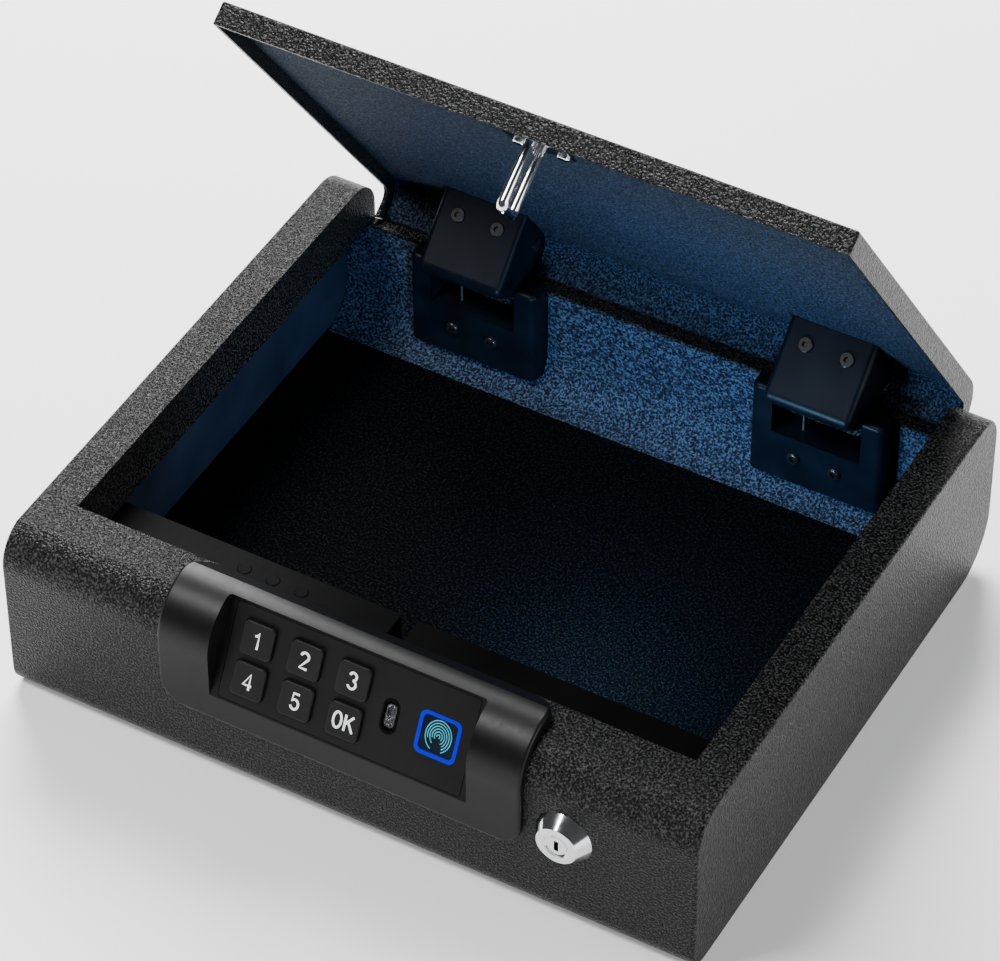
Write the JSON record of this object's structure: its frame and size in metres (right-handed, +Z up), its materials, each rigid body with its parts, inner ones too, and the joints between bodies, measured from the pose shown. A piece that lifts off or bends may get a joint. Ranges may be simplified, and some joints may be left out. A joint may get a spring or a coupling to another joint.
{
  "type": "quick-access pistol safe",
  "caption": "Low steel handgun safe with a sprung front-opening lid on rear hinges, foam liners, a sloped keypad with fingerprint reader, a backup key lock and a sliding bolt latch.",
  "frame": {"origin": "centre of the flat underside", "axes": "+X to the user's right along the longest side, -Y to the front with the keypad, +Z up; the lid is at its open stop"},
  "size_m": [0.31, 0.282, 0.2533],
  "materials": {
    "body_paint": "coarse textured black powder coat",
    "lid_paint": "fine textured black powder coat",
    "hinge_paint": "smooth matt black",
    "foam": "black foam sheet",
    "moulding": "smooth matt black moulding",
    "bezel_plastic": "soft-touch black",
    "keypad_gloss": "satin black",
    "keycap": "matt black with a white numeral",
    "button_plastic": "satin black",
    "polished": "polished chrome plating",
    "bright_steel": "zinc plated",
    "black_steel": "black oxide",
    "board": "green circuit board",
    "light_guide": "translucent blue, lit",
    "sensor_glass": "dark polished window",
    "light_lens": "frosted lens, lit",
    "cell": "plain battery jacket",
    "motor_can": "bare can"
  },
  "bodies": {
    "safe body": {"body_shell": "body_paint", "floor_liner": "foam", "left_liner": "foam", "right_liner": "foam", "rear_liner": "foam", "left_hinge_base": "hinge_paint", "right_hinge_base": "hinge_paint", "left_hinge_pin": "bright_steel", "right_hinge_pin": "bright_steel", "left_hinge_spring": "bright_steel", "right_hinge_spring": "bright_steel", "hinge_base_screws": "black_steel", "control_housing": "moulding", "housing_screws": "black_steel", "housing_brackets": "bright_steel", "button_board": "board", "bezel": "bezel_plastic", "keypad_plate": "keypad_gloss", "control_board": "board", "usb_port": "bright_steel", "usb_surround": "moulding", "sensor_ring": "light_guide", "sensor_window": "sensor_glass", "sensor_module": "moulding", "lock_bezel": "polished", "lock_nut": "bright_steel", "bolt_guides": "bright_steel", "latch_motor": "motor_can", "motor_bracket": "bright_steel", "battery_box": "moulding", "battery_cells": "cell", "battery_cover": "moulding", "interior_light": "light_lens"},
    "lid": {"lid_panel": "lid_paint", "lid_liner": "foam", "striker_plate": "black_steel", "striker_loop": "polished", "striker_screws": "black_steel", "hinge_cover_screws": "black_steel", "hinge_cheek_rivets": "black_steel", "left_hinge_cover": "hinge_paint", "right_hinge_cover": "hinge_paint", "left_hinge_leaf": "bright_steel", "right_hinge_leaf": "bright_steel"},
    "bolt": {"latch_bolt": "bright_steel"},
    "motor crank": {"motor_crank": "bright_steel"},
    "key core": {"key_plug": "polished", "key_crank": "bright_steel"},
    "key 1": {"key_1": "keycap"},
    "key 2": {"key_2": "keycap"},
    "key 3": {"key_3": "keycap"},
    "key 4": {"key_4": "keycap"},
    "key 5": {"key_5": "keycap"},
    "key ok": {"key_ok": "keycap"},
    "program button": {"program_button": "button_plastic"},
    "reset button": {"reset_button": "button_plastic"},
    "erase button": {"erase_button": "button_plastic"}
  },
  "joints": [
    {"name": "lid_hinge", "type": "hinge", "parent": "safe body", "child": "lid", "pos_m": [0, 0.1248, 0.0535], "axis": [1, 0, 0], "range_deg": [0, 55], "stiffness_Nm_per_rad": 0.9, "springref_deg": -54.43, "deforming": ["left_hinge_spring", "right_hinge_spring"]},
    {"name": "bolt_slide", "type": "slide", "parent": "safe body", "child": "bolt", "axis": [-1, 0, 0], "range_m": [0, 0.012]},
    {"name": "motor_turn", "type": "hinge", "parent": "safe body", "child": "motor crank", "pos_m": [0.046, -0.0805, 0.046], "axis": [0, 1, 0], "range_deg": [0, 90]},
    {"name": "key_turn", "type": "hinge", "parent": "safe body", "child": "key core", "pos_m": [0.098, -0.1305, 0.0479], "axis": [0, 1, 0], "range_deg": [0, 90]},
    {"name": "key_1_press", "type": "slide", "parent": "safe body", "child": "key 1", "axis": [0, 0.89, -0.456], "range_m": [0, 0.001], "stiffness_N_per_m": 400, "springref_m": -0.0005},
    {"name": "key_2_press", "type": "slide", "parent": "safe body", "child": "key 2", "axis": [0, 0.89, -0.456], "range_m": [0, 0.001], "stiffness_N_per_m": 400, "springref_m": -0.0005},
    {"name": "key_3_press", "type": "slide", "parent": "safe body", "child": "key 3", "axis": [0, 0.89, -0.456], "range_m": [0, 0.001], "stiffness_N_per_m": 400, "springref_m": -0.0005},
    {"name": "key_4_press", "type": "slide", "parent": "safe body", "child": "key 4", "axis": [0, 0.89, -0.456], "range_m": [0, 0.001], "stiffness_N_per_m": 400, "springref_m": -0.0005},
    {"name": "key_5_press", "type": "slide", "parent": "safe body", "child": "key 5", "axis": [0, 0.89, -0.456], "range_m": [0, 0.001], "stiffness_N_per_m": 400, "springref_m": -0.0005},
    {"name": "key_ok_press", "type": "slide", "parent": "safe body", "child": "key ok", "axis": [0, 0.89, -0.456], "range_m": [0, 0.001], "stiffness_N_per_m": 400, "springref_m": -0.0005},
    {"name": "program_press", "type": "slide", "parent": "safe body", "child": "program button", "axis": [0, 0, -1], "range_m": [0, 0.0008], "stiffness_N_per_m": 300, "springref_m": -0.0005},
    {"name": "reset_press", "type": "slide", "parent": "safe body", "child": "reset button", "axis": [0, 0, -1], "range_m": [0, 0.0008], "stiffness_N_per_m": 300, "springref_m": -0.0005},
    {"name": "erase_press", "type": "slide", "parent": "safe body", "child": "erase button", "axis": [0, 0, -1], "range_m": [0, 0.0008], "stiffness_N_per_m": 300, "springref_m": -0.0005}
  ],
  "couplings": [
    {"joint": "motor_turn", "follows": "bolt_slide", "rad_per_m": 130.89},
    {"joint": "key_turn", "follows": "bolt_slide", "rad_per_m": 130.89}
  ]
}
